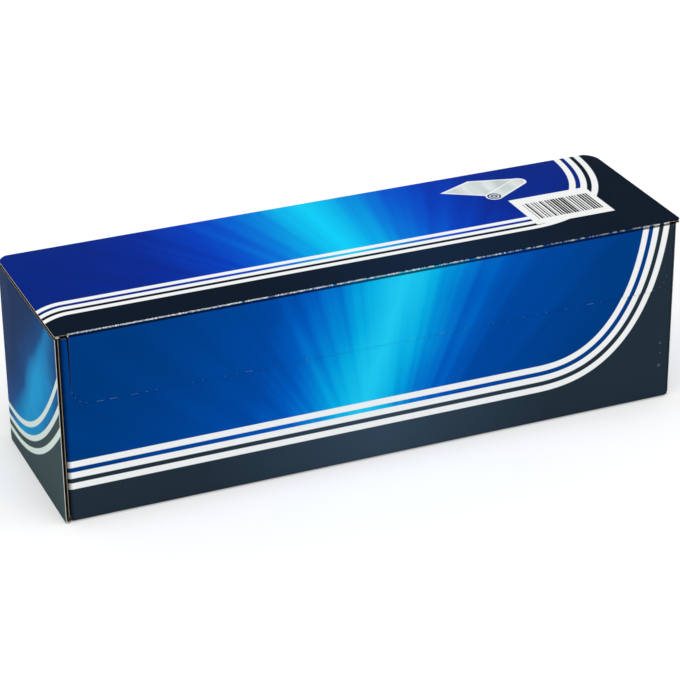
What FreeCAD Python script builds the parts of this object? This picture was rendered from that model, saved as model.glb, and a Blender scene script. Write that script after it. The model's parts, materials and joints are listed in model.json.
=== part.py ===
import FreeCAD, Part
import math
import os

# A roll of kitchen foil in its dispenser carton, closed, in millimetres.
# +X runs along the carton, its front faces -Y and +Z is up.
# The origin is the middle of the footprint, on the surface that the carton stands on.

# Foil roll
FOIL_WIDTH = 304.8              # the wound foil is twelve inches wide
FOIL_DIAMETER = 90.0            # over all the turns
TURN_BANDS = 7                  # bands of turns that show on each end of the roll
TURN_STEP = 0.25                # how far every second band lies back
TAIL_THICKNESS = 0.3            # free end of the foil, drawn thicker than it is
TAIL_START_DEG = 75.0           # the free end leaves the roll's top, from +Y towards +Z
TAIL_END_DEG = 122.0
TAIL_LIP = 10.0                 # straight lip that stands off the roll

# Core tube
CORE_BORE = 38.0
CORE_WALL = 1.6
CORE_PROUD = 1.0                # the core stands out of the foil at each end
WRAP_GAP = 0.1                  # between the core and the first turn

# Board and folds
BOARD = 1.8                     # thickness of the corrugated board
BOTTOM_FOLD_RADIUS = 2.2        # outer radius of the two folds along the bottom
TOP_FRONT_FOLD_RADIUS = 1.2     # perforated crease between lid and tear flap
TOP_BACK_FOLD_RADIUS = 3.5      # soft fold that the lid hinges on
FRONT_CORNER_RADIUS = 2.6       # upright fold between front wall and dust flap
BACK_CORNER_RADIUS = 7.0        # upright fold between back wall and end panel
DUST_FLAP_SHORT = 14.0          # the dust flap ends this far before the back wall
LEFT_PANEL_SETBACK = 0.0        # from the front wall's face back to the end panel's raw edge
RIGHT_PANEL_SETBACK = 4.5       # the right end panel is glued a little further back

# Tear flap in the front wall
FLAP_DROP = 36.0                # from the top of the lid down to the tear line
FLAP_CORNER_RADIUS = 9.0
EAR_FLAT = 2.1                  # flat of the front wall that stays beside the flap
FLAP_PROUD = 0.3                # the flap lies this far in front of the wall below it
TEAR_GAP = 0.3                  # the cut between the flap and the wall, and under the lid

# Cutter strip
CUTTER_THICKNESS = 0.4
CUTTER_HEIGHT = 12.0            # from the lower edge to the tips of the teeth
CUTTER_END_MARGIN = 5.4         # from each dust flap to the strip
TOOTH_PITCH = 3.0
TOOTH_DEPTH = 1.6
TOOTH_RISE = 1.8                # the tips stand this far above the tear line

# Room around the roll
ROLL_SEAT_GAP = 0.3             # under the roll
ROLL_SIDE_CLEARANCE = 0.85      # in front of the roll and behind it
ROLL_HEADROOM = 2.1             # over the roll, under the lid
CORE_END_CLEARANCE = 1.5        # between each end of the core and the dust flap

# Sizes that follow
CORE_LENGTH = FOIL_WIDTH + 2 * CORE_PROUD
CAVITY_LENGTH = CORE_LENGTH + 2 * CORE_END_CLEARANCE
CAVITY_DEPTH = FOIL_DIAMETER + 2 * ROLL_SIDE_CLEARANCE + CUTTER_THICKNESS
LENGTH = CAVITY_LENGTH + 4 * BOARD
DEPTH = CAVITY_DEPTH + 2 * BOARD + FLAP_PROUD
HEIGHT = ROLL_SEAT_GAP + FOIL_DIAMETER + ROLL_HEADROOM + 2 * BOARD

END_X = LENGTH / 2
PANEL_X = END_X - BOARD         # inner face of the end panel, outer face of the dust flap
CAVITY_X = CAVITY_LENGTH / 2
LID_FRONT_Y = -DEPTH / 2
FLAP_INNER_Y = LID_FRONT_Y + BOARD
WALL_FRONT_Y = LID_FRONT_Y + FLAP_PROUD
WALL_INNER_Y = WALL_FRONT_Y + BOARD
BACK_Y = DEPTH / 2
BACK_INNER_Y = BACK_Y - BOARD
LID_UNDER_Z = HEIGHT - BOARD
TEAR_Z = HEIGHT - FLAP_DROP
FLAP_X = PANEL_X - FRONT_CORNER_RADIUS - EAR_FLAT
FOLD_Y = BACK_Y - TOP_BACK_FOLD_RADIUS
FOLD_Z = HEIGHT - TOP_BACK_FOLD_RADIUS
ROLL_Y = (WALL_INNER_Y + CUTTER_THICKNESS + BACK_INNER_Y) / 2
ROLL_Z = BOARD + ROLL_SEAT_GAP + FOIL_DIAMETER / 2
OUTSIDE = DEPTH                 # how far a cutting solid reaches past the carton


def plan(u, v):
    """A point of an outline seen from above."""
    return FreeCAD.Vector(u, v, 0)


def side(u, v):
    """A point of an outline seen along the carton."""
    return FreeCAD.Vector(0, u, v)


def front(u, v):
    """A point of an outline seen from the front."""
    return FreeCAD.Vector(u, 0, v)


def rounded_face(corners, place):
    """Face of a closed outline. Each corner is (u, v, radius), and place puts it in space."""
    edges = []
    first = last = None
    count = len(corners)
    for index, (u, v, radius) in enumerate(corners):
        corner = place(u, v)
        start = end = corner
        middle = None
        if radius > 0:
            before = place(*corners[index - 1][:2]) - corner
            after = place(*corners[(index + 1) % count][:2]) - corner
            half = before.getAngle(after) / 2
            bisector = before.normalize() + after.normalize()
            bisector.normalize()
            centre = corner + bisector * (radius / math.sin(half))
            start = corner + before * (radius / math.tan(half))
            end = corner + after * (radius / math.tan(half))
            middle = centre - bisector * radius
        if last is not None:
            edges.append(Part.LineSegment(last, start).toShape())
        if middle is not None:
            edges.append(Part.Arc(start, middle, end).toShape())
        if first is None:
            first = start
        last = end
    edges.append(Part.LineSegment(last, first).toShape())
    return Part.Face(Part.Wire(edges))


def along_x(corners, low, high):
    """Solid with an outline seen along the carton, from x = low to x = high."""
    face = rounded_face(corners, side)
    face.translate(FreeCAD.Vector(low, 0, 0))
    return face.extrude(FreeCAD.Vector(high - low, 0, 0))


def along_y(corners, low, high):
    """Solid with an outline seen from the front, from y = low to y = high."""
    face = rounded_face(corners, front)
    face.translate(FreeCAD.Vector(0, low, 0))
    return face.extrude(FreeCAD.Vector(0, high - low, 0))


def upright(corners, low, high):
    """Solid with an outline seen from above, from z = low to z = high."""
    face = rounded_face(corners, plan)
    face.translate(FreeCAD.Vector(0, 0, low))
    return face.extrude(FreeCAD.Vector(0, 0, high - low))


def footprint(half_length, front_radius, back_radius):
    """Upright block as deep as the carton, with rounded corners."""
    corners = [
        (-half_length, LID_FRONT_Y, front_radius),
        (half_length, LID_FRONT_Y, front_radius),
        (half_length, BACK_Y, back_radius),
        (-half_length, BACK_Y, back_radius),
    ]
    return upright(corners, 0, HEIGHT)


def lid_band(gap):
    """The lid's board seen along the carton, without its flap, grown by a gap."""
    above = HEIGHT + OUTSIDE
    reach = above - FOLD_Z
    slope = gap * math.sqrt(2)
    upper = [
        (LID_FRONT_Y - OUTSIDE, LID_UNDER_Z - gap, 0),
        (FOLD_Y, LID_UNDER_Z - gap, 0),
        (FOLD_Y, FOLD_Z - slope, 0),
        (FOLD_Y + reach, FOLD_Z + reach - slope, 0),
        (LID_FRONT_Y - OUTSIDE, above, 0),
    ]
    under = [
        (LID_FRONT_Y - OUTSIDE, 0, 0),
        (BACK_INNER_Y - gap, 0, 0),
        (BACK_INNER_Y - gap, LID_UNDER_Z - gap, TOP_BACK_FOLD_RADIUS - BOARD - gap),
        (LID_FRONT_Y - OUTSIDE, LID_UNDER_Z - gap, 0),
    ]
    reach_x = END_X + OUTSIDE
    return along_x(upper, -reach_x, reach_x).cut(along_x(under, -reach_x, reach_x))


def flap_block(gap, low_y, high_y, top_z):
    """Block of the tear flap's outline, grown by a gap at its sides and its tear line."""
    half = FLAP_X + gap
    radius = FLAP_CORNER_RADIUS + gap
    corners = [
        (-half, TEAR_Z - gap, radius),
        (half, TEAR_Z - gap, radius),
        (half, top_z, 0),
        (-half, top_z, 0),
    ]
    return along_y(corners, low_y, high_y)


def carton_lid():
    """Top panel that folds over the back edge, with the tear flap turned down in front."""
    outline = [
        (LID_FRONT_Y, 0, 0),
        (BACK_Y, 0, 0),
        (BACK_Y, HEIGHT, TOP_BACK_FOLD_RADIUS),
        (LID_FRONT_Y, HEIGHT, TOP_FRONT_FOLD_RADIUS),
    ]
    panel = along_x(outline, -END_X, END_X).common(footprint(END_X, 0, BACK_CORNER_RADIUS))
    panel = panel.common(lid_band(0))
    overlap = LID_UNDER_Z + BOARD / 4
    flap = flap_block(0, LID_FRONT_Y, FLAP_INNER_Y, overlap)
    return panel.fuse(flap).removeSplitter()


def sleeve():
    """Front wall, bottom and back wall as one folded block, with the dust flaps' outer faces."""
    outline = [
        (WALL_FRONT_Y, 0, BOTTOM_FOLD_RADIUS),
        (BACK_Y, 0, BOTTOM_FOLD_RADIUS),
        (BACK_Y, HEIGHT, TOP_BACK_FOLD_RADIUS),
        (WALL_FRONT_Y, HEIGHT, 0),
    ]
    plan_outline = [
        (-PANEL_X, WALL_FRONT_Y, FRONT_CORNER_RADIUS),
        (PANEL_X, WALL_FRONT_Y, FRONT_CORNER_RADIUS),
        (PANEL_X, BACK_Y, 0),
        (-PANEL_X, BACK_Y, 0),
    ]
    return along_x(outline, -PANEL_X, PANEL_X).common(upright(plan_outline, 0, HEIGHT))


def end_panel(inner_x, outer_x, setback):
    """Outer end panel, whose raw front edge shows beside the front wall."""
    outline = [
        (WALL_FRONT_Y + setback, 0, 0),
        (BACK_Y, 0, BOTTOM_FOLD_RADIUS),
        (BACK_Y, HEIGHT, TOP_BACK_FOLD_RADIUS),
        (WALL_FRONT_Y + setback, HEIGHT, 0),
    ]
    return along_x(outline, inner_x, outer_x)


def cavity():
    """Inside of the carton: between the dust flaps, and wider behind their rear edges."""
    top_z = HEIGHT + OUTSIDE
    dust_rear_y = BACK_INNER_Y - DUST_FLAP_SHORT
    corner_radius = BACK_CORNER_RADIUS - BOARD
    between = upright(
        [
            (-CAVITY_X, WALL_INNER_Y, 0),
            (CAVITY_X, WALL_INNER_Y, 0),
            (CAVITY_X, BACK_INNER_Y, 0),
            (-CAVITY_X, BACK_INNER_Y, 0),
        ],
        BOARD,
        top_z,
    )
    behind = upright(
        [
            (-PANEL_X, dust_rear_y, 0),
            (PANEL_X, dust_rear_y, 0),
            (PANEL_X, BACK_INNER_Y, corner_radius),
            (-PANEL_X, BACK_INNER_Y, corner_radius),
        ],
        BOARD,
        top_z,
    )
    # The back wall's rounded top keeps its full board thickness
    fold_radius = TOP_BACK_FOLD_RADIUS - BOARD
    inside = along_x(
        [
            (WALL_INNER_Y, 0, 0),
            (BACK_INNER_Y, 0, 0),
            (BACK_INNER_Y, LID_UNDER_Z, fold_radius),
            (WALL_INNER_Y, LID_UNDER_Z, 0),
        ],
        -PANEL_X,
        PANEL_X,
    )
    return between.fuse(behind).common(inside)


def carton_body():
    """Bottom, walls, dust flaps and glued end panels, folded from one sheet of board."""
    block = sleeve()
    block = block.fuse(end_panel(-END_X, -PANEL_X, LEFT_PANEL_SETBACK))
    block = block.fuse(end_panel(PANEL_X, END_X, RIGHT_PANEL_SETBACK))
    block = block.common(footprint(END_X, 0, BACK_CORNER_RADIUS))
    block = block.cut(cavity())
    block = block.cut(lid_band(TEAR_GAP))
    flap_room = flap_block(TEAR_GAP, LID_FRONT_Y - OUTSIDE, WALL_INNER_Y, HEIGHT + OUTSIDE)
    return block.cut(flap_room).removeSplitter()


def cutter_strip():
    """Serrated strip glued behind the front wall, its teeth just above the tear line."""
    half = CAVITY_X - CUTTER_END_MARGIN
    teeth = int(2 * half / TOOTH_PITCH)
    pitch = 2 * half / teeth
    tip_z = TEAR_Z + TOOTH_RISE
    root_z = tip_z - TOOTH_DEPTH
    points = [front(half, tip_z - CUTTER_HEIGHT), front(-half, tip_z - CUTTER_HEIGHT)]
    for tooth in range(teeth):
        left = -half + tooth * pitch
        points.append(front(left, root_z))
        points.append(front(left + pitch / 2, tip_z))
    points.append(front(half, root_z))
    face = Part.Face(Part.makePolygon(points + points[:1]))
    face.translate(FreeCAD.Vector(0, WALL_INNER_Y, 0))
    return face.extrude(FreeCAD.Vector(0, CUTTER_THICKNESS, 0))


def wound_turns():
    """Turns of foil as one ring about X, with bands of turns lying back at its ends."""
    inner = CORE_BORE / 2 + CORE_WALL + WRAP_GAP
    band = (FOIL_DIAMETER / 2 - inner) / TURN_BANDS
    right = []
    for index in range(TURN_BANDS):
        x = FOIL_WIDTH / 2 - TURN_STEP * (index % 2)
        right.append((x, inner + index * band))
        right.append((x, inner + (index + 1) * band))
    left = [(-x, radius) for x, radius in reversed(right)]
    points = [FreeCAD.Vector(x, 0, radius) for x, radius in right + left]
    face = Part.Face(Part.makePolygon(points + points[:1]))
    return face.revolve(FreeCAD.Vector(0, 0, 0), FreeCAD.Vector(1, 0, 0), 360)


def foil_tail():
    """Free end of the foil: it follows the roll over its top and ends in a straight lip."""
    outer = FOIL_DIAMETER / 2 + TAIL_THICKNESS
    inner = FOIL_DIAMETER / 2 - TAIL_THICKNESS
    start = math.radians(TAIL_START_DEG)
    end = math.radians(TAIL_END_DEG)
    middle = (start + end) / 2
    bend = [side(outer * math.cos(a), outer * math.sin(a)) for a in (start, middle, end)]
    back = [side(inner * math.cos(a), inner * math.sin(a)) for a in (end, middle, start)]
    edges = [
        Part.Arc(*bend).toShape(),
        Part.LineSegment(bend[2], back[0]).toShape(),
        Part.Arc(*back).toShape(),
        Part.LineSegment(back[2], bend[0]).toShape(),
    ]
    curved = Part.Face(Part.Wire(edges))
    forward = side(-math.sin(end), math.cos(end)) * TAIL_LIP
    inward = side(math.cos(end), math.sin(end)) * -TAIL_THICKNESS
    corners = [bend[2], bend[2] + forward, bend[2] + forward + inward, bend[2] + inward]
    lip = Part.Face(Part.makePolygon(corners + corners[:1]))
    width = FOIL_WIDTH - 2 * TURN_STEP
    shape = curved.fuse(lip).extrude(FreeCAD.Vector(width, 0, 0))
    shape.translate(FreeCAD.Vector(-width / 2, 0, 0))
    return shape


def foil_roll():
    """All the turns and the free end as one solid, lying on the carton's bottom."""
    shape = wound_turns().fuse(foil_tail()).removeSplitter()
    shape.translate(FreeCAD.Vector(0, ROLL_Y, ROLL_Z))
    return shape


def core_tube():
    """Paperboard tube that the foil is wound on."""
    start = FreeCAD.Vector(-CORE_LENGTH / 2, ROLL_Y, ROLL_Z)
    axis = FreeCAD.Vector(1, 0, 0)
    outer = Part.makeCylinder(CORE_BORE / 2 + CORE_WALL, CORE_LENGTH, start, axis)
    return outer.cut(Part.makeCylinder(CORE_BORE / 2, CORE_LENGTH, start, axis))


os.makedirs("parts", exist_ok=True)
PIECES = {
    "carton_body": carton_body,
    "carton_lid": carton_lid,
    "cutter_strip": cutter_strip,
    "foil_roll": foil_roll,
    "core_tube": core_tube,
}
for name, build in PIECES.items():
    shape = build()
    print(name, "valid", shape.isValid(), "solids", len(shape.Solids), "volume", round(shape.Volume))
    shape.exportStep(f"parts/{name}.step")
hinge = TOP_BACK_FOLD_RADIUS / math.sqrt(2)
print("size", LENGTH, DEPTH, HEIGHT, "lid hinge at y", FOLD_Y + hinge, "z", FOLD_Z + hinge)
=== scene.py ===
import json
import math
import random

import bmesh
import bpy
from mathutils import Matrix, Vector, noise


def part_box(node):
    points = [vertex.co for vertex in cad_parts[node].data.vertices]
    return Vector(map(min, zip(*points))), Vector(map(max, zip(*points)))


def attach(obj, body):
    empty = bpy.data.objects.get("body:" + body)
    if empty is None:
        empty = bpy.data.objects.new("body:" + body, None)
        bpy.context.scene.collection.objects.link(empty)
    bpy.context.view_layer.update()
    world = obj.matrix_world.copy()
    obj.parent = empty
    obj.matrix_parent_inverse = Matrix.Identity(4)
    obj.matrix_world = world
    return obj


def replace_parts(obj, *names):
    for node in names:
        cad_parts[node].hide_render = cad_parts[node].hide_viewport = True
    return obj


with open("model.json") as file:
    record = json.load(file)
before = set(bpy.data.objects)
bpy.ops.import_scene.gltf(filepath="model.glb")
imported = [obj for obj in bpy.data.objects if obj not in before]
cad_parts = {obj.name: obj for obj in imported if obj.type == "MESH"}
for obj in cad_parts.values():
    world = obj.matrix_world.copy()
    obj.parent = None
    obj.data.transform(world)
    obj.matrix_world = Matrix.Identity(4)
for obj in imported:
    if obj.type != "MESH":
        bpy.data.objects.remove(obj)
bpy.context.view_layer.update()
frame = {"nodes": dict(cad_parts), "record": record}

# Lengths are in millimetres here and turn into metres where a mesh or a node needs them.
# x runs along the carton, y to its back and z up, as in the frame.
MM = 0.001
body_low, body_high = [[c / MM for c in corner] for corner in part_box("carton_body")]
lid_low, lid_high = [[c / MM for c in corner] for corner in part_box("carton_lid")]
core_low, core_high = [[c / MM for c in corner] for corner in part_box("core_tube")]
roll_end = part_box("foil_roll")[1][0] / MM
hinge = [c / MM for c in frame["record"]["behaviour"]["joints"][0]["pos_m"]]

# Outer faces of the carton, read from the frame
END = lid_high[0]
TOP = lid_high[2]
BACK = body_high[1]
FLAP_FRONT = lid_low[1]
WALL_FRONT = body_low[1]
CUT_HEIGHT = lid_low[2]

# The height of the roll's axis, and how far the roll reaches to each side
ROLL_HEIGHT = (core_low[2] + core_high[2]) / 2
ROLL_HALF = roll_end

# Board: two liners with a wave between them
BOARD = 1.8
LINER = 0.3
MEDIUM = 0.2
FLUTE_PITCH = 3.3
FLUTE_STEPS = 8
SMOOTH_BELOW = 35.0
EDGE_RECESS = 2.2

# Folds and cuts of the carton
TEAR_GAP = 0.12
EAR_TAPER = 0.7
LID_GAP = 0.3
FRONT_FOLD = 1.2
BOTTOM_FOLD = 2.2
BACK_FOLD = 3.5
UPRIGHT_FOLD = 2.6
BACK_CORNER = 7.0
LID_BACK_CORNER = 9.0
LID_FRONT_CORNERS = {-1: 1.2, 1: 3.0}
FLAP_SIDE = 152.0
FLAP_CORNER = 9.0
DUST_FLAP_END = 32.2
RIGHT_PANEL_SETBACK = 4.5
PANEL_FOOT = 0.2
DUST_FLAP_FOOT = 0.5
CORNER_DROP = 0.7
PANEL = END - BOARD
WALL_TOP = TOP - BOARD - LID_GAP


class Trace:
    """A line of straight runs and folds through two axes.

    inside is 1 where the board's inside is left of the walk, and -1 where it is right of it.
    """

    def __init__(self, start, heading, legs, inside):
        self.inside = inside
        self.legs = []
        place = start
        angle = math.radians(heading)
        length = 0.0
        for run, radius, turn in legs:
            if run:
                self.legs.append((length, run, place, angle, 0.0, 0.0))
                place = (place[0] + run * math.cos(angle), place[1] + run * math.sin(angle))
                length += run
            if radius:
                bend = math.radians(turn)
                arc = radius * abs(bend)
                self.legs.append((length, arc, place, angle, radius, bend))
                place = self.on_fold(place, angle, radius, bend, 1.0)
                angle += bend
                length += arc
        self.length = length

    @staticmethod
    def on_fold(place, angle, radius, bend, share):
        side = math.copysign(1.0, bend)
        turned = angle + bend * share
        return (
            place[0] + side * radius * (math.sin(turned) - math.sin(angle)),
            place[1] - side * radius * (math.cos(turned) - math.cos(angle)),
        )

    def at(self, walked, depth):
        """The point at that length of the walk and that depth under the outer face."""
        leg = next(leg for leg in reversed(self.legs) if walked >= leg[0] - 1e-6)
        start, length, place, angle, radius, bend = leg
        share = min(max((walked - start) / length, 0.0), 1.0)
        if not radius:
            gone = share * length
            point = (place[0] + gone * math.cos(angle), place[1] + gone * math.sin(angle))
            turned = angle
            straight = depth
            past = 0.0
        else:
            point = self.on_fold(place, angle, radius, bend, share)
            turned = angle + bend * share
            straight = min(depth, radius)
            past = depth - straight
        inward = (-self.inside * math.sin(turned), self.inside * math.cos(turned))
        middle = angle + bend / 2
        reach = past / math.cos(bend / 2)
        return (
            point[0] + straight * inward[0] - self.inside * reach * math.sin(middle),
            point[1] + straight * inward[1] + self.inside * reach * math.cos(middle),
        )

    def stops(self, longest, fold_steps=6):
        """Lengths of the walk where a mesh needs a row."""
        found = [0.0]
        for start, length, _, _, radius, _ in self.legs:
            steps = fold_steps if radius else max(1, math.ceil(length / longest))
            found += [start + length * k / steps for k in range(1, steps + 1)]
        return found


def between(low, high, steps):
    return [low + (high - low) * k / steps for k in range(steps + 1)]


def merged(*groups):
    """All those values in order, with none nearer to the last than a hundredth."""
    kept = []
    for value in sorted(v for group in groups for v in group):
        if not kept or value - kept[-1] > 0.01:
            kept.append(value)
    return kept


def rounded(distance, radius):
    """How far a corner of that radius has drawn back, at a distance past its start."""
    distance = min(max(distance, 0.0), radius)
    return radius - math.sqrt(radius * radius - distance * distance)


def grid_solid(name, body, columns, rows, point, holds, depths, materials, paint):
    """A closed sheet between two depths, over the cells of a grid that hold board.

    Its materials are the rim, the inner face and then the outer faces, which paint picks from.
    """
    mesh = bmesh.new()
    corner = {}

    def vertex(i, j, side):
        key = (i, j, side)
        if key not in corner:
            depth = depths(columns[i])[side]
            corner[key] = mesh.verts.new([c * MM for c in point(columns[i], rows[j], depth)])
        return corner[key]

    cells = {
        (i, j)
        for i in range(len(columns) - 1)
        for j in range(len(rows) - 1)
        if holds((columns[i] + columns[i + 1]) / 2, (rows[j] + rows[j + 1]) / 2)
    }
    for i, j in sorted(cells):
        ring = [(i, j), (i + 1, j), (i + 1, j + 1), (i, j + 1)]
        outer = mesh.faces.new([vertex(a, b, 0) for a, b in ring])
        outer.material_index = paint((columns[i] + columns[i + 1]) / 2, (rows[j] + rows[j + 1]) / 2)
        inner = mesh.faces.new([vertex(a, b, 1) for a, b in reversed(ring)])
        inner.material_index = 1
        beside = [(i, j - 1), (i + 1, j), (i, j + 1), (i - 1, j)]
        for k, neighbour in enumerate(beside):
            if neighbour not in cells:
                a, b = ring[k], ring[(k + 1) % 4]
                mesh.faces.new([vertex(*b, 0), vertex(*a, 0), vertex(*a, 1), vertex(*b, 1)])
    bmesh.ops.remove_doubles(mesh, verts=mesh.verts, dist=1e-7)
    bmesh.ops.recalc_face_normals(mesh, faces=mesh.faces)
    return piece_from(mesh, name, body, materials)


def piece_from(mesh, name, body, materials):
    """Turns a bmesh into a named piece that rides on a body."""
    data = bpy.data.meshes.new(name)
    mesh.to_mesh(data)
    mesh.free()
    for material in materials:
        data.materials.append(material)
    data.polygons.foreach_set("use_smooth", [True] * len(data.polygons))
    data.set_sharp_from_angle(angle=math.radians(SMOOTH_BELOW))
    piece = bpy.data.objects.new(name, data)
    bpy.context.scene.collection.objects.link(piece)
    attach(piece, body)
    return piece


def board(name, body, columns, rows, point, holds, rims, prints, paint):
    """One panel or wrap of corrugated board: printed outer liner, wave and kraft inner liner.

    The rims are the materials of the outer and the inner liner's cut edges.
    """
    wave = BOARD - 2 * LINER - MEDIUM

    def flute(c):
        crest = LINER + wave * (0.5 + 0.5 * math.sin(2 * math.pi * c / FLUTE_PITCH))
        return crest, crest + MEDIUM

    def holds_medium(c, r):
        return all(holds(c + shift, r) for shift in (-EDGE_RECESS, 0, EDGE_RECESS))

    steps = math.ceil((columns[-1] - columns[0]) / FLUTE_PITCH * FLUTE_STEPS)
    fine = between(columns[0], columns[-1], steps)
    outer = grid_solid(name + "_outer_liner", body, columns, rows, point, holds,
                       lambda c: (0.0, LINER), [rims[0], groove_shade_paper] + prints, paint)
    grid_solid(name + "_flutes", body, fine, rows, point, holds_medium,
               flute, [flute_paper_in_shade] * 3, lambda c, r: 2)
    grid_solid(name + "_inner_liner", body, columns, rows, point, holds,
               lambda c: (BOARD - LINER, BOARD), [rims[1], kraft, groove_shade_paper], lambda c, r: 2)
    return outer


class Graph:
    """A material's node tree, with short calls for the nodes that a print needs."""

    def __init__(self, name):
        self.material = bpy.data.materials.new(name)
        self.material.use_nodes = True
        self.tree = self.material.node_tree
        self.shader = self.tree.nodes["Principled BSDF"]
        self.place = self.node("ShaderNodeTexCoord").outputs["Object"]
        split = self.node("ShaderNodeSeparateXYZ")
        self.tree.links.new(self.place, split.inputs[0])
        self.x, self.y, self.z = [Field(self, split.outputs[k]) / MM for k in range(3)]

    def node(self, kind, **settings):
        made = self.tree.nodes.new(kind)
        for key, value in settings.items():
            setattr(made, key, value)
        return made

    def feed(self, socket, value):
        if isinstance(value, Field):
            value = value.socket
        if isinstance(value, bpy.types.NodeSocket):
            self.tree.links.new(value, socket)
        else:
            socket.default_value = value

    def math(self, operation, *values, clamp=False):
        made = self.node("ShaderNodeMath", operation=operation, use_clamp=clamp)
        for socket, value in zip(made.inputs, values):
            self.feed(socket, value)
        return Field(self, made.outputs[0])

    def ramp(self, value, low, high):
        """0 at low and before it, 1 at high and after it."""
        made = self.node("ShaderNodeMapRange")
        for name, given in (("Value", value), ("From Min", low), ("From Max", high)):
            self.feed(made.inputs[name], given)
        return Field(self, made.outputs[0])

    def inside(self, value, half, soft=0.15):
        """1 where the value is nearer to 0 than half."""
        return self.ramp(self.math("ABSOLUTE", value), half + soft, half - soft)

    def mix(self, share, first, second):
        made = self.node("ShaderNodeMix", data_type="RGBA")
        for index, value in ((0, share), (6, first), (7, second)):
            self.feed(made.inputs[index], value)
        return made.outputs[2]

    def colours(self, value, stops):
        """A colour ramp over 0 to 1 through (place, colour) stops."""
        made = self.node("ShaderNodeValToRGB")
        elements = made.color_ramp.elements
        for place, colour in stops[2:]:
            elements.new(place)
        for element, (place, colour) in zip(elements, stops):
            element.position = place
            element.color = colour
        self.feed(made.inputs[0], value)
        return made.outputs[0]

    def vector(self, x, y, z):
        made = self.node("ShaderNodeCombineXYZ")
        for socket, value in zip(made.inputs, (x, y, z)):
            self.feed(socket, value)
        return made.outputs[0]

    def noise(self, place, scale, detail=2.0, roughness=0.5):
        made = self.node("ShaderNodeTexNoise")
        settings = {"Vector": place, "Scale": scale, "Detail": detail, "Roughness": roughness}
        for name, value in settings.items():
            self.feed(made.inputs[name], value)
        return Field(self, made.outputs[0])

    def bump(self, height, distance, strength=1.0):
        """Relief of that height field, where 1 stands distance millimetres high."""
        made = self.node("ShaderNodeBump")
        for name, value in (("Height", height), ("Distance", distance * MM), ("Strength", strength)):
            self.feed(made.inputs[name], value)
        self.tree.links.new(made.outputs[0], self.shader.inputs["Normal"])

    def finish(self, colour, roughness, **constants):
        self.feed(self.shader.inputs["Base Color"], colour)
        self.feed(self.shader.inputs["Roughness"], roughness)
        for name, value in constants.items():
            self.shader.inputs[name.replace("_", " ")].default_value = value
        return self.material


class Field:
    """A number that a material works out at each point, so that a print can be written as a formula."""

    def __init__(self, graph, socket):
        self.graph = graph
        self.socket = socket

    def __add__(self, other):
        return self.graph.math("ADD", self, other)

    def __radd__(self, other):
        return self.graph.math("ADD", other, self)

    def __sub__(self, other):
        return self.graph.math("SUBTRACT", self, other)

    def __rsub__(self, other):
        return self.graph.math("SUBTRACT", other, self)

    def __mul__(self, other):
        return self.graph.math("MULTIPLY", self, other)

    def __rmul__(self, other):
        return self.graph.math("MULTIPLY", other, self)

    def __truediv__(self, other):
        return self.graph.math("DIVIDE", self, other)

    def __pow__(self, other):
        return self.graph.math("POWER", self, other)

    def __neg__(self):
        return self.graph.math("MULTIPLY", self, -1.0)


def srgb(red, green, blue):
    """A colour as written on a screen, 0 to 255, for a shader."""
    def linear(c):
        c /= 255
        return c / 12.92 if c <= 0.04045 else ((c + 0.055) / 1.055) ** 2.4

    return (linear(red), linear(green), linear(blue), 1.0)


WHITE_INK = srgb(246, 248, 247)
FRONT_SLATE = srgb(36, 50, 62)
FRONT_SLATE_LIT = srgb(52, 70, 88)
LID_SLATE = srgb(7, 22, 38)
LID_SLATE_LIT = srgb(12, 34, 60)
SLATE_REACH = 90.0
LID_SLATE_MIDDLE = 30.0

# Where the glow lies, how it leans, and the point that its rays fan out from: under the front's foot for the
# front, and in front of the carton for the lid
FRONT_GLOW_HEIGHT = 57.0
FRONT_GLOW_LEAN = 0.35
FRONT_RAYS_PIVOT = -30.0
LID_GLOW_MIDDLE = -3.0
LID_RAYS_PIVOT = -110.0
RAY_SCALE = 14.0
RAY_STRETCH = 0.6
RAY_SHIFT = 12.0

# The blue fades from the glow in the middle to the ends: (distance in mm, colour)
GLOW_REACH = 150.0
FRONT_GLOW = [
    (0, srgb(30, 205, 245)), (13, srgb(8, 180, 232)), (21, srgb(2, 150, 222)), (30, srgb(2, 120, 208)),
    (42, srgb(0, 92, 190)), (60, srgb(0, 74, 164)), (90, srgb(0, 67, 148)), (120, srgb(0, 62, 136)),
    (150, srgb(0, 59, 128)),
]
LID_GLOW = [
    (0, srgb(12, 210, 250)), (13, srgb(3, 180, 238)), (30, srgb(0, 122, 220)), (45, srgb(0, 86, 206)),
    (60, srgb(0, 62, 188)), (90, srgb(2, 42, 150)), (120, srgb(2, 38, 134)), (150, srgb(2, 38, 128)),
]

# White stripes: centre lines that run straight and sweep up on a super-ellipse
STRIPE_COUNT = 3
MIDDLE_STRIPE = 1
STRIPE_PITCH = 5.55
STRIPE_HALF = 1.6
FRONT_SWEEP = {"start": 80.5, "centre": 130.0, "reach": 60.5, "rise": 100.0, "power": 2.47}
LID_SWEEP = {"start": 87.5, "centre": 50.9, "reach": 50.7, "rise": 67.1, "power": 2.15}
LID_BEND_START = 145.0
LID_BEND = 0.0275

# White patch on the lid, with bars that stand for no code
PATCH = {"x": 113.2, "y": -9.0, "half_x": 21.2, "half_y": 16.0}
BAR_PITCH = 1.5
BARS = {"x": 113.9, "y": -9.6, "half_x": 18.0, "half_y": 9.6}

# Plain picture on the lid: a sheet, the roll that it comes off and the turns on that roll's near end
SHEET = ((65.2, 28.9), (84.5, 17.0), (108.0, 31.0), (84.2, 37.5))
SHEET_ROLL = ((88.2, 15.0), (107.2, 27.0))
SHEET_ROLL_HALF = 4.3
TURNS_PITCH = 1.75


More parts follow.
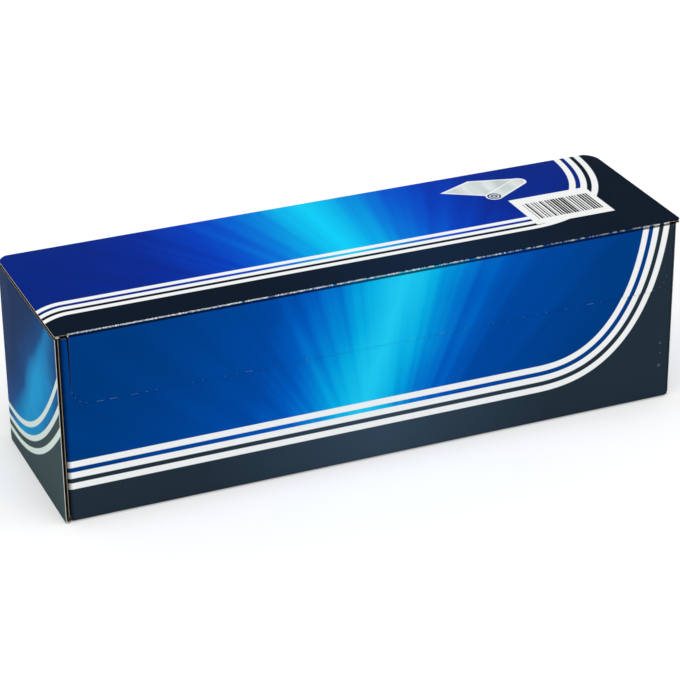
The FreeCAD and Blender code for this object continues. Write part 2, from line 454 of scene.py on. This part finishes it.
def sweep_stripes(g, along, across, sweep):
    """The white of three swept stripes, and 1 beyond the middle one."""
    white = 0.0
    beyond = 0.0
    power = sweep["power"]
    for k in range(STRIPE_COUNT):
        reach = sweep["reach"] + k * STRIPE_PITCH
        rise = sweep["rise"] + k * STRIPE_PITCH
        p = g.math("MAXIMUM", along - sweep["start"], 0.0) / reach
        q = g.math("MAXIMUM", sweep["centre"] - across, 0.0) / rise
        size = (p ** power + q ** power) ** (1 / power)
        slope = ((p ** (power - 1) / reach) ** 2 + (q ** (power - 1) / rise) ** 2) ** 0.5
        distance = (size - 1.0) / slope
        white = g.math("MAXIMUM", white, g.inside(distance, STRIPE_HALF))
        if k == MIDDLE_STRIPE:
            beyond = g.ramp(distance, -0.2, 0.2)
    return white, beyond


def glow(g, distance, stops):
    return g.colours(distance / GLOW_REACH, [(place / GLOW_REACH, colour) for place, colour in stops])


def rays(g, along, across, pivot):
    """Uneven light that fans out from a pivot outside the panel."""
    angle = g.math("ARCTAN2", along, across - pivot)
    return g.noise(g.vector(angle, 0.0, 0.0), RAY_SCALE, detail=3.0) - 0.5


def front_colour(g, mirror=1.0):
    along = g.x * mirror
    spread = g.math("ABSOLUTE", along - (g.z - FRONT_GLOW_HEIGHT) * FRONT_GLOW_LEAN)
    streaks = rays(g, along, g.z, FRONT_RAYS_PIVOT)
    clouds = g.noise(g.place, 14.0, detail=2.0) - 0.5
    spread = spread * (1.0 + RAY_STRETCH * streaks + 0.5 * clouds) + RAY_SHIFT * streaks + 14.0 * clouds
    blue = glow(g, g.math("MAXIMUM", spread, 0.0), FRONT_GLOW)
    white, beyond = sweep_stripes(g, along, g.z, FRONT_SWEEP)
    slate = g.mix(g.ramp(g.math("ABSOLUTE", along), SLATE_REACH, 0.0), FRONT_SLATE, FRONT_SLATE_LIT)
    return g.mix(white, g.mix(beyond, blue, slate), WHITE_INK)


def sheet_picture(g, colour):
    """A sheet of foil drawn off its roll, printed over that colour."""
    sheet = 100.0
    for (x0, y0), (x1, y1) in zip(SHEET, SHEET[1:] + SHEET[:1]):
        edge = ((g.x - x0) * (y0 - y1) + (g.y - y0) * (x1 - x0)) / math.hypot(x1 - x0, y1 - y0)
        sheet = g.math("MINIMUM", sheet, edge)
    (x0, y0), (x1, y1) = SHEET_ROLL
    run_x, run_y = x1 - x0, y1 - y0
    share = ((g.x - x0) * run_x + (g.y - y0) * run_y) / (run_x ** 2 + run_y ** 2)
    share = g.math("MINIMUM", g.math("MAXIMUM", share, 0.0), 1.0)
    from_axis = ((g.x - x0 - share * run_x) ** 2 + (g.y - y0 - share * run_y) ** 2) ** 0.5
    roll = SHEET_ROLL_HALF - from_axis
    from_end = ((g.x - x0) ** 2 + (g.y - y0) ** 2) ** 0.5
    turns = g.math("GREATER_THAN", g.math("FRACT", from_end / TURNS_PITCH), 0.5)
    depth = g.math("MAXIMUM", sheet, roll)
    along = (g.x - SHEET[0][0]) * 0.06
    sheen = g.noise(g.vector(along, (g.y - g.x) * 0.012, 0.0), 1.6, detail=2.0)
    silver = g.mix(g.ramp(sheen, 0.3, 0.7), srgb(186, 198, 200), srgb(232, 238, 236))
    silver = g.mix(0.4 * g.inside(roll, 0.5, 0.5), silver, srgb(120, 132, 142))
    silver = g.mix(g.ramp(depth, 1.5, 0.5), silver, WHITE_INK)
    near_end = g.ramp(from_end, SHEET_ROLL_HALF + 0.15, SHEET_ROLL_HALF - 0.15)
    silver = g.mix(near_end * turns, silver, srgb(34, 58, 104))
    return g.mix(g.ramp(depth, -0.15, 0.15), colour, silver)


def lid_colour(g):
    across = g.y + LID_BEND * g.math("MAXIMUM", -g.x - LID_BEND_START, 0.0) ** 2
    spread = g.math("ABSOLUTE", g.x - LID_GLOW_MIDDLE)
    streaks = rays(g, g.x, g.y, LID_RAYS_PIVOT)
    spread = spread * (1.0 + RAY_STRETCH * streaks) + RAY_SHIFT * streaks
    blue = glow(g, g.math("MAXIMUM", spread, 0.0), LID_GLOW)
    white, beyond = sweep_stripes(g, g.x, across, LID_SWEEP)
    lit = g.ramp(g.math("ABSOLUTE", g.x - LID_SLATE_MIDDLE), SLATE_REACH, 0.0)
    slate = g.mix(lit, LID_SLATE, LID_SLATE_LIT)
    inked = sheet_picture(g, g.mix(white, g.mix(beyond, blue, slate), WHITE_INK))
    patch = box_mask(g, PATCH)
    bar = g.node("ShaderNodeTexWhiteNoise", noise_dimensions="1D")
    g.feed(bar.inputs["W"], g.math("FLOOR", g.x / BAR_PITCH))
    share = 0.2 + 0.62 * Field(g, bar.outputs[0])
    bars = box_mask(g, BARS) * g.math("LESS_THAN", g.math("FRACT", g.x / BAR_PITCH), share)
    return g.mix(bars, g.mix(patch, inked, WHITE_INK), srgb(20, 22, 26))


def box_mask(g, box):
    return g.inside(g.x - box["x"], box["half_x"]) * g.inside(g.y - box["y"], box["half_y"])


# The end panels: inks darkened and greyed as painted shade and a painted hazy reflection, and stripes given
# by their height at the back and their rise to the front
END_WHITE_SHADED = srgb(225, 242, 234)
END_SLATE_HAZED = srgb(58, 78, 82)
END_GLOW_HAZED = [
    (0, srgb(10, 160, 218)), (8, srgb(4, 133, 195)), (15, srgb(0, 76, 138)), (24, srgb(4, 62, 121)),
    (32, srgb(0, 52, 102)), (46, srgb(0, 46, 94)),
]

# The glow on an end panel is a band that leans to the front as it rises.
# It fades fast behind it, slowly in front and towards the top, and spreads behind near the foot.
END_BAND_FOOT = 27.3
END_BAND_LEAN = 0.667
END_BAND_IN_FRONT = 0.46
END_BAND_SPREAD = 0.6
END_BAND_SPREAD_TOP = 45.0
END_BAND_SPREAD_FOOT = 20.0
END_BAND_CLOUDS = 16.0
END_BAND_DIM = 0.3
END_BAND_DIM_START = 64.0
END_STRIPES = ((19.7, 0.0082), (13.45, 0.0071), (7.75, 0.0062))
END_STRIPE_FLAT = 33.0
END_STRIPE_HALF = 1.4
END_STRIPE_WIDENING = 0.00014
# How far the painted shadow under the lid's edge reaches down the end panels
LID_SHADE = 1.3


def end_colour(g):
    """Rising stripes on a panel that faces along x, darkened at its top by a painted shadow under the lid's
    edge.
    """
    run = g.math("MAXIMUM", END_STRIPE_FLAT - g.y, 0.0)
    white = 0.0
    for k, (foot, rise) in enumerate(END_STRIPES):
        height = foot + rise * run ** 2
        half = END_STRIPE_HALF + END_STRIPE_WIDENING * run ** 2
        distance = g.math("ABSOLUTE", g.z - height) - half
        white = g.math("MAXIMUM", white, g.ramp(distance, 0.2, -0.2))
        if k == MIDDLE_STRIPE:
            beyond = g.ramp(g.z - height, 0.2, -0.2)
    band = g.y + END_BAND_LEAN * g.z - END_BAND_FOOT
    behind = band / (1.0 + END_BAND_SPREAD * g.ramp(g.z, END_BAND_SPREAD_TOP, END_BAND_SPREAD_FOOT))
    above = END_BAND_DIM * g.math("MAXIMUM", g.z - END_BAND_DIM_START, 0.0)
    clouds = END_BAND_CLOUDS * (g.noise(g.place, 26.0, detail=3.0) - 0.5)
    spread = g.math("MAXIMUM", behind, -END_BAND_IN_FRONT * band) + above + clouds
    # The end's glow, slate and white carry painted shade and a painted hazy reflection
    blue = glow(g, g.math("MAXIMUM", spread, 0.0), END_GLOW_HAZED)
    # Painted shadow under the lid's edge: the panel's top darkens to near black
    shade = 0.8 * g.ramp(g.z, WALL_TOP - LID_SHADE, WALL_TOP - 0.2)
    inked = g.mix(white, g.mix(beyond, blue, END_SLATE_HAZED), END_WHITE_SHADED)
    return g.mix(shade, inked, srgb(6, 10, 16))


def bottom_colour(g):
    shade = g.noise(g.place, 40.0)
    return g.mix(shade, FRONT_SLATE, srgb(30, 42, 52))


# Cracked print along the front fold, by the distance under the fold's 45 degree crest
CREST = -FLAP_FRONT + TOP - (2 - math.sqrt(2)) * FRONT_FOLD
CRACK_UNDER = 0.1
CRACK_PERIOD = 4.4
# A score groove under the fold, darkened as a painted shadow, and the share of painted shade in the crevice
# at the upright fold
SCORE_LOW = TOP - 2.0
SCORE_HIGH = TOP - 0.8
FOLD_SHADE = 0.85


def crest_wear_and_fold_shade(g, colour):
    """Ink cracked off the front fold in dashes, nearly unbroken at the left end, over a score line darkened
    as a painted shadow of its groove, with painted shade in the crevice where the upright fold tucks under
    the end panel.
    """
    grain = g.noise(g.vector(g.x / CRACK_PERIOD, 0.0, 0.0), 1.0, detail=3.0, roughness=0.7)
    left_share = g.ramp(g.x, 40.0, -150.0)
    broken = g.ramp(grain + 0.14 * left_share, 0.46, 0.55)
    ragged = g.noise(g.vector(g.x, 0.0, 0.0), 0.7, detail=4.0, roughness=0.7)
    under = (CREST - (g.z - g.y)) * (3.2 - 4.4 * ragged)
    crack = g.ramp(under, CRACK_UNDER, CRACK_UNDER * 0.4) * broken
    crack = crack * g.ramp(g.math("ABSOLUTE", g.x), FLAP_SIDE + 0.2, FLAP_SIDE)
    worn = g.noise(g.vector(g.x, g.y, g.z), 1.6, detail=4.0, roughness=0.7)
    bare = g.mix(g.ramp(g.x, 120.0, 40.0), srgb(176, 172, 160), srgb(246, 250, 252))
    bare = g.mix(g.ramp(worn, 0.62, 0.42), bare, srgb(96, 104, 112))
    in_front = g.ramp(g.y, FLAP_FRONT + 0.5, FLAP_FRONT + 0.2)
    # Painted shadow along the score groove under the fold
    score = in_front * g.ramp(g.z, SCORE_LOW, SCORE_LOW + 0.3) * g.ramp(g.z, SCORE_HIGH + 0.3, SCORE_HIGH)
    aside = g.math("ABSOLUTE", g.x)
    on_wall = g.ramp(g.z, WALL_TOP + 0.2, WALL_TOP) * g.ramp(aside, PANEL + 0.4, PANEL + 0.2)
    # Painted shade in the crevice where the wall's upright fold tucks under the end panel
    crevice_shade = on_wall * g.ramp(aside, PANEL - UPRIGHT_FOLD, PANEL - 0.5)
    dark = g.math("MAXIMUM", 0.85 * score, FOLD_SHADE * crevice_shade)
    return g.mix(crack, g.mix(dark, colour, srgb(3, 6, 14)), bare)


# Rubbed spots on the front: x, z and half size
SCUFFS = ((150.0, 30.8, 0.9), (150.3, 25.2, 0.7), (150.0, 18.5, 1.2))


def scuffed(g, colour):
    """Faint rubbed spots near the front's right edge."""
    rubbed = 0.0
    for x, z, half in SCUFFS:
        distance = ((g.x - x) ** 2 + (g.z - z) ** 2) ** 0.5
        rubbed = g.math("MAXIMUM", rubbed, g.ramp(distance, half, 0.0))
    return g.mix(0.45 * rubbed, colour, srgb(120, 138, 156))


def printed(name, colour_of, across_flutes):
    """Varnished print on a white liner that lets the flutes show through a little."""
    g = Graph(name)
    colour = colour_of(g)
    flutes = g.math("SINE", across_flutes(g) * (2 * math.pi / FLUTE_PITCH))
    fibres = g.noise(g.place, 900.0, detail=3.0)
    g.bump(0.16 * flutes + 0.2 * fibres + 3.0 * g.noise(g.place, 18.0), 0.05)
    mottle = g.noise(g.place, 60.0, detail=4.0)
    return g.finish(crest_wear_and_fold_shade(g, colour), 0.3 + 0.14 * mottle, Specular_IOR_Level=0.004)


def paper(name, dark, light, scale=(1.0, 1.0, 1.0), shade=None):
    """Unprinted paper with short fibres and cloudy tone. shade gives the share that is darkened as painted
    shade, where the paper lies in a dark gap.
    """
    g = Graph(name)
    stretched = g.vector(g.x * MM * scale[0], g.y * MM * scale[1], g.z * MM * scale[2])
    fibres = g.noise(stretched, 1400.0, detail=4.0, roughness=0.7)
    clouds = g.noise(g.place, 90.0, detail=3.0)
    tone = g.mix(g.ramp(0.75 * fibres + 0.25 * clouds, 0.28, 0.72), dark, light)
    if shade:
        tone = g.mix(shade(g), tone, srgb(26, 22, 18))
    g.bump(fibres, 0.06)
    return g.finish(tone, 0.82 + 0.1 * fibres, Specular_IOR_Level=0.25)


white_paper = paper("white liner edge", srgb(172, 174, 172), srgb(226, 228, 226))
# Near-black paper as painted shade inside the board, on the liners' hidden faces and the lid's inner cut edge
groove_shade_paper = paper("shaded groove", srgb(14, 11, 7), srgb(50, 40, 27))
# Pale cut edges of the lid, with painted shade that deepens down the flap's cut edges where they lie in the
# gap
pale_edge_with_gap_shade = paper("pale liner edge with gap shade", srgb(206, 192, 152), srgb(248, 240, 210),
                  shade=lambda g: 0.85 * g.ramp(g.z, TOP - BOARD, TOP - 2 * BOARD))
crushed_paper = paper("crushed board", srgb(12, 9, 6), srgb(58, 42, 26))
# Cut edges of the liners: their own paper tone, darkened and greyed with painted shade
torn_edge_in_shade = paper("cut liner edge in shade", srgb(58, 50, 44), srgb(150, 138, 122))
cut_kraft_in_shade = paper("cut kraft edge in shade", srgb(104, 96, 80), srgb(164, 154, 132))
# Flute paper: kraft medium darkened with painted shade of the board's inside
flute_paper_in_shade = paper("flute paper in shade", srgb(66, 48, 30), srgb(108, 82, 54), scale=(1.0, 1.0, 0.2))
nick_paper = paper("perforation nick", srgb(34, 62, 110), srgb(150, 186, 216))
kraft = paper("kraft liner", srgb(150, 116, 80), srgb(196, 160, 118), scale=(1.0, 0.3, 0.3))
front_print = printed("front print", lambda g: scuffed(g, front_colour(g)), lambda g: g.x)
lid_print = printed("lid print", lid_colour, lambda g: g.x)
end_print = printed("end print", end_colour, lambda g: g.y)
back_print = printed("back print", lambda g: front_colour(g, mirror=-1.0), lambda g: g.x)
bottom_print = printed("bottom print", bottom_colour, lambda g: g.x)


def mirrored(values):
    return [side * value for side in (-1, 1) for value in values]


def lid_board():
    """Tear flap, front fold, top panel and the lid's half of the back fold."""
    flap_run = TOP - FRONT_FOLD - CUT_HEIGHT
    fold_arc = FRONT_FOLD * math.pi / 2
    trace = Trace((FLAP_FRONT, CUT_HEIGHT), 90, [
        (flap_run, FRONT_FOLD, -90),
        (BACK - BACK_FOLD - FLAP_FRONT - FRONT_FOLD, BACK_FOLD, -45),
    ], inside=-1)
    columns = merged(
        mirrored([END - rounded(k, LID_BACK_CORNER) for k in between(0, LID_BACK_CORNER, 8)]),
        mirrored([FLAP_SIDE - FLAP_CORNER * (1 - math.sin(math.radians(a))) for a in between(0, 90, 9)]),
        between(-END + LID_BACK_CORNER, END - LID_BACK_CORNER, 24),
    )
    largest = max(LID_FRONT_CORNERS.values())
    rows = merged(trace.stops(16), [flap_run + fold_arc + k for k in between(0, largest, 6)])

    def point(x, walked, depth):
        y, z = trace.at(walked, depth)
        if walked < flap_run:
            raised = rounded(abs(x) - FLAP_SIDE + FLAP_CORNER, FLAP_CORNER)
            z += raised * (1 - walked / flap_run)
        drawn = rounded(abs(x) - END + LID_BACK_CORNER, LID_BACK_CORNER)
        drawn = max(0.0, drawn - (BACK - hinge[1]))
        y -= drawn * (y - FLAP_FRONT) / (hinge[1] - FLAP_FRONT)
        over_ear = max(0.0, abs(x) - FLAP_SIDE) / (END - FLAP_SIDE)
        side = 1 if x > 0 else -1
        corner = LID_FRONT_CORNERS[side]
        x -= side * over_ear * rounded(corner - (y - FLAP_FRONT), corner)
        return x, y, z

    def holds(x, walked):
        return abs(x) < FLAP_SIDE or (walked > flap_run + fold_arc / 2 and abs(x) < END)

    def paint(x, walked):
        return 2 if walked < flap_run + fold_arc / 2 else 3

    prints = [front_print, lid_print]
    rims = (pale_edge_with_gap_shade, groove_shade_paper)
    return board("carton_lid", "lid", columns, rows, point, holds, rims, prints, paint)


def body_board():
    """Front wall under the tear line, bottom and back wall with the body's half of the back fold."""
    wall_top = CUT_HEIGHT - TEAR_GAP
    wall_run = wall_top - BOTTOM_FOLD
    bottom_run = BACK - WALL_FRONT - 2 * BOTTOM_FOLD
    fold_arc = BOTTOM_FOLD * math.pi / 2
    trace = Trace((WALL_FRONT, wall_top), -90, [
        (wall_run, BOTTOM_FOLD, 90),
        (bottom_run, BOTTOM_FOLD, 90),
        (TOP - BACK_FOLD - BOTTOM_FOLD, BACK_FOLD, 45),
    ], inside=1)
    cut_side = FLAP_SIDE + TEAR_GAP
    cut_corner = FLAP_CORNER + TEAR_GAP
    bottom_start = wall_run + fold_arc
    bottom_end = bottom_start + bottom_run
    columns = merged(
        mirrored([PANEL, END - BACK_CORNER]),
        mirrored([cut_side - cut_corner * (1 - math.sin(math.radians(a))) for a in between(0, 90, 9)]),
        between(-END + BACK_CORNER, END - BACK_CORNER, 24),
    )

    def point(x, walked, depth):
        y, z = trace.at(walked, depth)
        if walked < wall_run:
            z += rounded(abs(x) - cut_side + cut_corner, cut_corner) * (1 - walked / wall_run)
        return x, y, z

    def holds(x, walked):
        if walked < bottom_start:
            return abs(x) < cut_side
        if walked < bottom_end:
            return abs(x) < PANEL
        return abs(x) < END - BACK_CORNER

    def paint(x, walked):
        if walked < wall_run + fold_arc / 2:
            return 2
        return 3 if walked < bottom_end + fold_arc / 2 else 4

    prints = [front_print, bottom_print, back_print]
    rims = (torn_edge_in_shade, cut_kraft_in_shade)
    return board("carton_body", "carton", columns, trace.stops(16), point, holds, rims, prints, paint)


def foot_inset(z, radius):
    return rounded(radius - z, radius)


def front_corner(name, side):
    """Ear beside the tear flap, upright front fold and the dust flap glued inside the end panel."""
    cut_side = FLAP_SIDE + TEAR_GAP
    ear = PANEL - UPRIGHT_FOLD - cut_side
    trace = Trace((cut_side, WALL_FRONT), 0, [
        (ear, UPRIGHT_FOLD, 90),
        (DUST_FLAP_END - WALL_FRONT - UPRIGHT_FOLD, 0, 0),
    ], inside=1)
    heights = merged(between(DUST_FLAP_FOOT, BOTTOM_FOLD, 4), between(BOTTOM_FOLD, WALL_TOP, 6))

    def point(walked, z, depth):
        x, y = trace.at(walked, depth + foot_inset(z, BOTTOM_FOLD))
        if walked == 0.0:
            x += EAR_TAPER * max(0.0, z - CUT_HEIGHT - FLAP_CORNER) / (WALL_TOP - CUT_HEIGHT - FLAP_CORNER)
        return side * x, y, z

    board(name, "carton", trace.stops(20), heights, point, lambda c, r: 0 < c < trace.length,
          (torn_edge_in_shade, cut_kraft_in_shade), [front_print], lambda c, r: 2)


def end_panel(name, side, setback):
    """End panel with the rounded back corner that joins it to the back wall."""
    trace = Trace((END, WALL_FRONT + setback), 90, [
        (BACK - BACK_CORNER - WALL_FRONT - setback, BACK_CORNER, 90),
    ], inside=1)
    corner_start = BACK - BACK_CORNER - WALL_FRONT - setback
    heights = merged(between(PANEL_FOOT, BOTTOM_FOLD, 4), between(BOTTOM_FOLD, WALL_TOP, 6))

    def point(walked, z, depth):
        share = min(max((walked - corner_start) / (trace.length - corner_start), 0.0), 1.0)
        x, y = trace.at(walked, depth + foot_inset(z, BOTTOM_FOLD) * share)
        return side * x, y, z - CORNER_DROP * share * z / WALL_TOP

    board(name, "carton", trace.stops(20), heights, point, lambda c, r: 0 < c < trace.length,
          (white_paper, cut_kraft_in_shade), [end_print], lambda c, r: 2)


# Details of torn and crushed board, each by its middle and half sizes, and the nicks by their full size
NICK_PITCH = 7.4
NICK = (0.7, 0.5, 0.14)
NICK_STRETCH = (0.6, 0.8, 1.0, 1.0, 1.4, 5.0)
FIBRES = {
    "corner_fibres": ((-END + 1.6, FLAP_FRONT + 0.9, TOP - 1.3), (1.3, 0.7, 0.6)),
    "cut_fibres": ((-FLAP_SIDE + 0.2, FLAP_FRONT + 0.5, TOP - 1.2), (1.0, 0.35, 0.8)),
}
CRUSH = ((-PANEL - 0.1, FLAP_FRONT + 0.75, 2.5), (1.6, 0.75, 2.4))


def ragged_lump(name, body, middle, halves, materials, roughness=0.35, detail=3):
    """A small uneven lump of torn or crushed board, kept inside its half sizes."""
    mesh = bmesh.new()
    bmesh.ops.create_icosphere(mesh, subdivisions=detail, radius=1.0)
    for vertex in mesh.verts:
        shrink = 1.0 - roughness * (0.5 + 0.5 * noise.noise(vertex.co * 2.4 + vertex.co.orthogonal()))
        vertex.co = Vector([(m + h * c * shrink) * MM for m, h, c in zip(middle, halves, vertex.co)])
    return piece_from(mesh, name, body, materials)


def perforation_nicks():
    """Paper bridges and frayed lengths along the flap's lower edge and corners, joined in one piece."""
    mesh = bmesh.new()
    dice = random.Random(5)
    reach = FLAP_SIDE - FLAP_CORNER - NICK_PITCH / 2
    places = [
        (x + dice.uniform(-0.3, 0.3) * NICK_PITCH, CUT_HEIGHT, dice.choice(NICK_STRETCH))
        for x in between(-reach, reach, round(2 * reach / NICK_PITCH))
    ]
    for side in (-1, 1):
        for angle in between(15, 75, 3):
            turn = math.radians(angle)
            places.append((side * (FLAP_SIDE - FLAP_CORNER * (1 - math.sin(turn))),
                           CUT_HEIGHT + FLAP_CORNER * (1 - math.cos(turn)), 1.0))
    for x, z, stretch in places:
        middle = Vector((x * MM, (FLAP_FRONT + NICK[1] / 2 + 0.02) * MM, (z - TEAR_GAP / 2) * MM))
        size = Matrix.Diagonal([NICK[0] * stretch * MM, NICK[1] * MM, NICK[2] * MM, 1.0])
        bmesh.ops.create_cube(mesh, size=1.0, matrix=Matrix.Translation(middle) @ size)
    return piece_from(mesh, "perforation_nicks", "lid", [nick_paper])


def torn_details():
    for name, (middle, halves) in FIBRES.items():
        ragged_lump(name, "lid", middle, halves, [white_paper], roughness=0.7)
    ragged_lump("crushed_corner", "carton", *CRUSH, [crushed_paper], roughness=0.5)
    perforation_nicks()


def build_carton():
    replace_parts(lid_board(), "carton_lid")
    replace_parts(body_board(), "carton_body")
    front_corner("front_corner_left", -1)
    front_corner("front_corner_right", 1)
    end_panel("end_panel_left", -1, 0.0)
    end_panel("end_panel_right", 1, RIGHT_PANEL_SETBACK)
    torn_details()


def foil_material():
    """Bright rolled foil: fine crinkles along the roll and rings of turns on its ends."""
    g = Graph("foil")
    radius = (g.y ** 2 + (g.z - ROLL_HEIGHT) ** 2) ** 0.5
    rings = g.noise(g.vector(radius, 0.0, 0.0), 6.0, detail=4.0, roughness=0.8)
    on_end = g.ramp(g.math("ABSOLUTE", g.x), ROLL_HALF - 1.0, ROLL_HALF - 0.5)
    turn = g.math("ARCTAN2", g.y, g.z - ROLL_HEIGHT)
    ridges = g.noise(g.vector(g.x * 0.002, turn * 3.0, 0.0), 3.0, detail=5.0, roughness=0.6)
    dents = g.noise(g.vector(g.x * 0.03, turn * 1.6, 0.0), 1.0, detail=3.0)
    rolling = g.noise(g.vector(g.x * 0.9, turn * 0.5, 0.0), 2.0, detail=4.0, roughness=0.6)
    g.bump(on_end * rings + (1.0 - on_end) * (0.5 * ridges + 1.4 * dents + 0.02 * rolling), 0.5, 0.8)
    tone = g.mix(g.ramp(ridges, 0.35, 0.65), srgb(172, 175, 179), srgb(204, 206, 209))
    tone = g.mix(on_end * rings, tone, srgb(140, 144, 148))
    return g.finish(tone, 0.14 + 0.2 * on_end + 0.1 * rolling, Metallic=1.0)


def core_material():
    """Spiral-wound grey-brown tube board."""
    g = Graph("core board")
    seam = g.math("FRACT", (g.x + 20.0 * g.math("ARCTAN2", g.y, g.z - ROLL_HEIGHT)) / 62.0)
    line = g.ramp(g.math("ABSOLUTE", seam - 0.5), 0.012, 0.004)
    fibres = g.noise(g.place, 700.0, detail=4.0, roughness=0.7)
    tone = g.mix(fibres, srgb(150, 128, 100), srgb(186, 164, 134))
    g.bump(0.4 * fibres - line, 0.15)
    return g.finish(g.mix(line * 0.5, tone, srgb(96, 78, 58)), 0.85, Specular_IOR_Level=0.25)


def cutter_material():
    """Rolled steel strip with fine lengthwise brushing."""
    g = Graph("cutter steel")
    lines = g.noise(g.vector(g.x * 0.002, g.y * 0.2, g.z * 0.2), 60.0, detail=4.0)
    g.bump(lines, 0.02)
    tone = g.mix(lines, srgb(186, 188, 190), srgb(214, 215, 217))
    return g.finish(tone, 0.25 + 0.15 * lines, Metallic=1.0)


def dress_cad_nodes():
    """Materials of the pieces that keep their CAD shape."""
    for name, material in (
        ("foil_roll", foil_material()),
        ("core_tube", core_material()),
        ("cutter_strip", cutter_material()),
    ):
        node = frame["nodes"][name]
        node.data.materials.clear()
        node.data.materials.append(material)


# Camera, as the photograph was taken
CAMERA_AZIMUTH = -22.54
CAMERA_ELEVATION = 26.27
CAMERA_ROLL = -0.64
CAMERA_DISTANCE = 1262.0
CAMERA_SHIFT = (-1.95, 36.7)
CAMERA_LENS = 134.73


def add_camera():
    a, e, r = (math.radians(v) for v in (CAMERA_AZIMUTH, CAMERA_ELEVATION, CAMERA_ROLL))
    turn = (
        Matrix.Rotation(a, 4, "Z")
        @ Matrix.Rotation(math.pi / 2 - e, 4, "X")
        @ Matrix.Rotation(r, 4, "Z")
    )
    offset = Matrix.Translation([c * MM for c in (*CAMERA_SHIFT, CAMERA_DISTANCE)])
    data = bpy.data.cameras.new("camera")
    data.lens = CAMERA_LENS
    data.sensor_width = 36.0
    camera = bpy.data.objects.new("camera", data)
    camera.matrix_world = turn @ offset
    bpy.context.scene.collection.objects.link(camera)
    bpy.context.scene.camera = camera


# Floor: its size, how far it lies under the carton, and the white that is added to what the camera sees of it
FLOOR_SIZE = 12.0
FLOOR_DROP = 0.1
FLOOR_LIFT = 0.2
FLOOR_FADE = 0.6
FADE_START = 900.0
FADE_END = 3600.0

# Soft light: a lamp, in metres and watts, and the level of the white world
KEY_PLACE = (-0.47, -1.9, 3.5)
KEY_SIZE = 6.4
KEY_POWER = 137.0
WORLD_LEVEL = 0.55


def looked_at(tree):
    """1 for rays from the camera, a reflection or a clear piece, 0 for rays that carry light."""
    path = tree.nodes.new("ShaderNodeLightPath")
    seen = path.outputs["Is Camera Ray"]
    for kind in ("Is Glossy Ray", "Is Transmission Ray"):
        larger = tree.nodes.new("ShaderNodeMath")
        larger.operation = "MAXIMUM"
        tree.links.new(seen, larger.inputs[0])
        tree.links.new(path.outputs[kind], larger.inputs[1])
        seen = larger.outputs[0]
    return seen


def add_floor():
    """A pale floor that the camera sees as white where no shadow falls, and whiter with distance."""
    bpy.ops.mesh.primitive_plane_add(size=FLOOR_SIZE, location=(0, 0, -FLOOR_DROP * MM))
    floor = bpy.context.object
    floor.name = "floor"
    g = Graph("floor")
    tone = g.mix(g.noise(g.place, 3.0), (0.89, 0.89, 0.89, 1.0), (0.91, 0.91, 0.91, 1.0))
    away = g.ramp((g.x ** 2 + g.y ** 2) ** 0.5, FADE_START, FADE_END)
    lift = FLOOR_LIFT + FLOOR_FADE * away
    g.feed(g.shader.inputs["Emission Strength"], lift * Field(g, looked_at(g.tree)))
    floor.data.materials.append(g.finish(tone, 0.9, Specular_IOR_Level=0.0, Emission_Color=(1, 1, 1, 1)))


def add_light(name, location, size, power):
    """A soft square lamp aimed at the middle of the carton."""
    data = bpy.data.lights.new(name, "AREA")
    data.shape = "SQUARE"
    data.size = size
    data.energy = power
    lamp = bpy.data.objects.new(name, data)
    lamp.location = location
    aim = -lamp.location
    lamp.rotation_euler = aim.to_track_quat("-Z", "Y").to_euler()
    bpy.context.scene.collection.objects.link(lamp)


def add_world(strength):
    world = bpy.data.worlds.new("studio")
    bpy.context.scene.world = world
    world.use_nodes = True
    tree = world.node_tree
    level = tree.nodes.new("ShaderNodeMath")
    level.operation = "MULTIPLY_ADD"
    level.inputs[1].default_value = 1.0 - strength
    level.inputs[2].default_value = strength
    tree.links.new(looked_at(tree), level.inputs[0])
    background = tree.nodes["Background"]
    background.inputs["Color"].default_value = (1, 1, 1, 1)
    tree.links.new(level.outputs[0], background.inputs["Strength"])


def add_stage():
    add_camera()
    add_floor()
    add_world(WORLD_LEVEL)
    add_light("key", KEY_PLACE, KEY_SIZE, KEY_POWER)
    bpy.context.scene.view_settings.view_transform = "Standard"


build_carton()
dress_cad_nodes()
add_stage()
